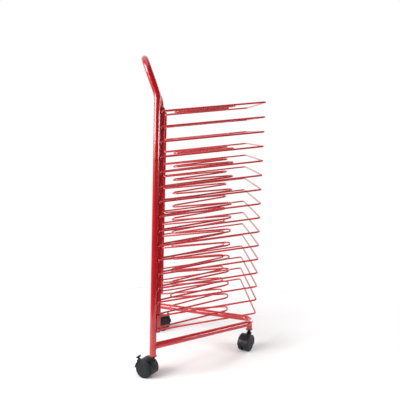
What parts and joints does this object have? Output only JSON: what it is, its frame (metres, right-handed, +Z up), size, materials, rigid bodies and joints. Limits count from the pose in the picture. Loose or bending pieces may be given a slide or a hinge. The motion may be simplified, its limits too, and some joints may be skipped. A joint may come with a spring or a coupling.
{
  "type": "art drying rack",
  "caption": "Mobile drying rack for paintings: bent tube frame with push handle and V base, stacked tilted lift-up wire shelves and twin-wheel swivel castors.",
  "frame": {"origin": "on the floor, in the middle of the footprint", "axes": "+Z up; +X towards the open front of the shelves; -Y is the rack's left side"},
  "size_m": [0.4408, 0.4572, 1.0612],
  "materials": {
    "red_paint": "gloss red paint",
    "black_plastic": "satin black moulding",
    "wheel_nylon": "dark grey nylon",
    "zinc_steel": "bright zinc plate"
  },
  "bodies": {
    "frame": {"back_frame": "red_paint", "base_rail": "red_paint", "front_socket": "red_paint", "hinge_strip_left": "red_paint", "hinge_strip_right": "red_paint", "castor_left_plug": "black_plastic", "castor_right_plug": "black_plastic", "castor_front_plug": "black_plastic"},
    "shelf_01": {"shelf_01": "red_paint"},
    "shelf_02": {"shelf_02": "red_paint"},
    "shelf_03": {"shelf_03": "red_paint"},
    "shelf_04": {"shelf_04": "red_paint"},
    "shelf_05": {"shelf_05": "red_paint"},
    "shelf_06": {"shelf_06": "red_paint"},
    "shelf_07": {"shelf_07": "red_paint"},
    "shelf_08": {"shelf_08": "red_paint"},
    "shelf_09": {"shelf_09": "red_paint"},
    "shelf_10": {"shelf_10": "red_paint"},
    "shelf_11": {"shelf_11": "red_paint"},
    "shelf_12": {"shelf_12": "red_paint"},
    "shelf_13": {"shelf_13": "red_paint"},
    "shelf_14": {"shelf_14": "red_paint"},
    "shelf_15": {"shelf_15": "red_paint"},
    "shelf_16": {"shelf_16": "red_paint"},
    "castor_left": {"castor_left_stem": "zinc_steel", "castor_left_hood": "black_plastic", "castor_left_axle": "zinc_steel"},
    "castor_left_wheel_1": {"castor_left_wheel_1": "wheel_nylon"},
    "castor_left_wheel_2": {"castor_left_wheel_2": "wheel_nylon"},
    "castor_left_brake": {"castor_left_brake": "black_plastic"},
    "castor_right": {"castor_right_stem": "zinc_steel", "castor_right_hood": "black_plastic", "castor_right_axle": "zinc_steel"},
    "castor_right_wheel_1": {"castor_right_wheel_1": "wheel_nylon"},
    "castor_right_wheel_2": {"castor_right_wheel_2": "wheel_nylon"},
    "castor_right_brake": {"castor_right_brake": "black_plastic"},
    "castor_front": {"castor_front_stem": "zinc_steel", "castor_front_hood": "black_plastic", "castor_front_axle": "zinc_steel"},
    "castor_front_wheel_1": {"castor_front_wheel_1": "wheel_nylon"},
    "castor_front_wheel_2": {"castor_front_wheel_2": "wheel_nylon"}
  },
  "joints": [
    {"name": "shelf_01_lift", "type": "hinge", "parent": "frame", "child": "shelf_01", "pos_m": [-0.14346, 0, 0.1703], "axis": [0, -1, 0], "range_deg": [0, 64]},
    {"name": "shelf_02_lift", "type": "hinge", "parent": "frame", "child": "shelf_02", "pos_m": [-0.14346, 0, 0.2183], "axis": [0, -1, 0], "range_deg": [0, 64]},
    {"name": "shelf_03_lift", "type": "hinge", "parent": "frame", "child": "shelf_03", "pos_m": [-0.14346, 0, 0.2663], "axis": [0, -1, 0], "range_deg": [0, 64]},
    {"name": "shelf_04_lift", "type": "hinge", "parent": "frame", "child": "shelf_04", "pos_m": [-0.14346, 0, 0.3143], "axis": [0, -1, 0], "range_deg": [0, 64]},
    {"name": "shelf_05_lift", "type": "hinge", "parent": "frame", "child": "shelf_05", "pos_m": [-0.14346, 0, 0.3623], "axis": [0, -1, 0], "range_deg": [0, 64]},
    {"name": "shelf_06_lift", "type": "hinge", "parent": "frame", "child": "shelf_06", "pos_m": [-0.14346, 0, 0.4103], "axis": [0, -1, 0], "range_deg": [0, 64]},
    {"name": "shelf_07_lift", "type": "hinge", "parent": "frame", "child": "shelf_07", "pos_m": [-0.14346, 0, 0.4583], "axis": [0, -1, 0], "range_deg": [0, 64]},
    {"name": "shelf_08_lift", "type": "hinge", "parent": "frame", "child": "shelf_08", "pos_m": [-0.14346, 0, 0.5063], "axis": [0, -1, 0], "range_deg": [0, 64]},
    {"name": "shelf_09_lift", "type": "hinge", "parent": "frame", "child": "shelf_09", "pos_m": [-0.14346, 0, 0.5543], "axis": [0, -1, 0], "range_deg": [0, 64]},
    {"name": "shelf_10_lift", "type": "hinge", "parent": "frame", "child": "shelf_10", "pos_m": [-0.14346, 0, 0.6023], "axis": [0, -1, 0], "range_deg": [0, 64]},
    {"name": "shelf_11_lift", "type": "hinge", "parent": "frame", "child": "shelf_11", "pos_m": [-0.14346, 0, 0.6503], "axis": [0, -1, 0], "range_deg": [0, 64]},
    {"name": "shelf_12_lift", "type": "hinge", "parent": "frame", "child": "shelf_12", "pos_m": [-0.14346, 0, 0.6983], "axis": [0, -1, 0], "range_deg": [0, 64]},
    {"name": "shelf_13_lift", "type": "hinge", "parent": "frame", "child": "shelf_13", "pos_m": [-0.14346, 0, 0.7463], "axis": [0, -1, 0], "range_deg": [0, 64]},
    {"name": "shelf_14_lift", "type": "hinge", "parent": "frame", "child": "shelf_14", "pos_m": [-0.14346, 0, 0.7943], "axis": [0, -1, 0], "range_deg": [0, 64]},
    {"name": "shelf_15_lift", "type": "hinge", "parent": "frame", "child": "shelf_15", "pos_m": [-0.14346, 0, 0.8423], "axis": [0, -1, 0], "range_deg": [0, 64]},
    {"name": "shelf_16_lift", "type": "hinge", "parent": "frame", "child": "shelf_16", "pos_m": [-0.14346, 0, 0.8903], "axis": [0, -1, 0], "range_deg": [0, 84]},
    {"name": "castor_left_swivel", "type": "hinge", "parent": "frame", "child": "castor_left", "pos_m": [-0.16056, -0.20545, 0.0729], "axis": [0, 0, 1], "continuous": true},
    {"name": "castor_left_wheel_1_roll", "type": "hinge", "parent": "castor_left", "child": "castor_left_wheel_1", "pos_m": [-0.18022, -0.19168, 0.03], "axis": [-0.5736, -0.8192, 0], "continuous": true},
    {"name": "castor_left_wheel_2_roll", "type": "hinge", "parent": "castor_left", "child": "castor_left_wheel_2", "pos_m": [-0.18022, -0.19168, 0.03], "axis": [-0.5736, -0.8192, 0], "continuous": true},
    {"name": "castor_left_brake_press", "type": "hinge", "parent": "castor_left", "child": "castor_left_brake", "pos_m": [-0.20689, -0.17301, 0.0488], "axis": [-0.5736, -0.8192, 0], "range_deg": [0, 45]},
    {"name": "castor_right_swivel", "type": "hinge", "parent": "frame", "child": "castor_right", "pos_m": [-0.16056, 0.17855, 0.0729], "axis": [0, 0, 1], "continuous": true},
    {"name": "castor_right_wheel_1_roll", "type": "hinge", "parent": "castor_right", "child": "castor_right_wheel_1", "pos_m": [-0.14066, 0.19197, 0.03], "axis": [-0.5592, 0.829, 0], "continuous": true},
    {"name": "castor_right_wheel_2_roll", "type": "hinge", "parent": "castor_right", "child": "castor_right_wheel_2", "pos_m": [-0.14066, 0.19197, 0.03], "axis": [-0.5592, 0.829, 0], "continuous": true},
    {"name": "castor_right_brake_press", "type": "hinge", "parent": "castor_right", "child": "castor_right_brake", "pos_m": [-0.11367, 0.21018, 0.0488], "axis": [-0.5592, 0.829, 0], "range_deg": [0, 45]},
    {"name": "castor_front_swivel", "type": "hinge", "parent": "frame", "child": "castor_front", "pos_m": [0.19732, -0.01345, 0.0729], "axis": [0, 0, 1], "continuous": true},
    {"name": "castor_front_wheel_1_roll", "type": "hinge", "parent": "castor_front", "child": "castor_front_wheel_1", "pos_m": [0.18321, -0.03287, 0.03], "axis": [0.809, -0.5878, 0], "continuous": true},
    {"name": "castor_front_wheel_2_roll", "type": "hinge", "parent": "castor_front", "child": "castor_front_wheel_2", "pos_m": [0.18321, -0.03287, 0.03], "axis": [0.809, -0.5878, 0], "continuous": true}
  ],
  "couplings": [
    {"joint": "shelf_01_lift", "follows": "shelf_16_lift", "ratio": 0.7619},
    {"joint": "shelf_02_lift", "follows": "shelf_16_lift", "ratio": 0.7619},
    {"joint": "shelf_03_lift", "follows": "shelf_16_lift", "ratio": 0.7619},
    {"joint": "shelf_04_lift", "follows": "shelf_16_lift", "ratio": 0.7619},
    {"joint": "shelf_05_lift", "follows": "shelf_16_lift", "ratio": 0.7619},
    {"joint": "shelf_06_lift", "follows": "shelf_16_lift", "ratio": 0.7619},
    {"joint": "shelf_07_lift", "follows": "shelf_16_lift", "ratio": 0.7619},
    {"joint": "shelf_08_lift", "follows": "shelf_16_lift", "ratio": 0.7619},
    {"joint": "shelf_09_lift", "follows": "shelf_16_lift", "ratio": 0.7619},
    {"joint": "shelf_10_lift", "follows": "shelf_16_lift", "ratio": 0.7619},
    {"joint": "shelf_11_lift", "follows": "shelf_16_lift", "ratio": 0.7619},
    {"joint": "shelf_12_lift", "follows": "shelf_16_lift", "ratio": 0.7619},
    {"joint": "shelf_13_lift", "follows": "shelf_16_lift", "ratio": 0.7619},
    {"joint": "shelf_14_lift", "follows": "shelf_16_lift", "ratio": 0.7619},
    {"joint": "shelf_15_lift", "follows": "shelf_16_lift", "ratio": 0.7619}
  ]
}
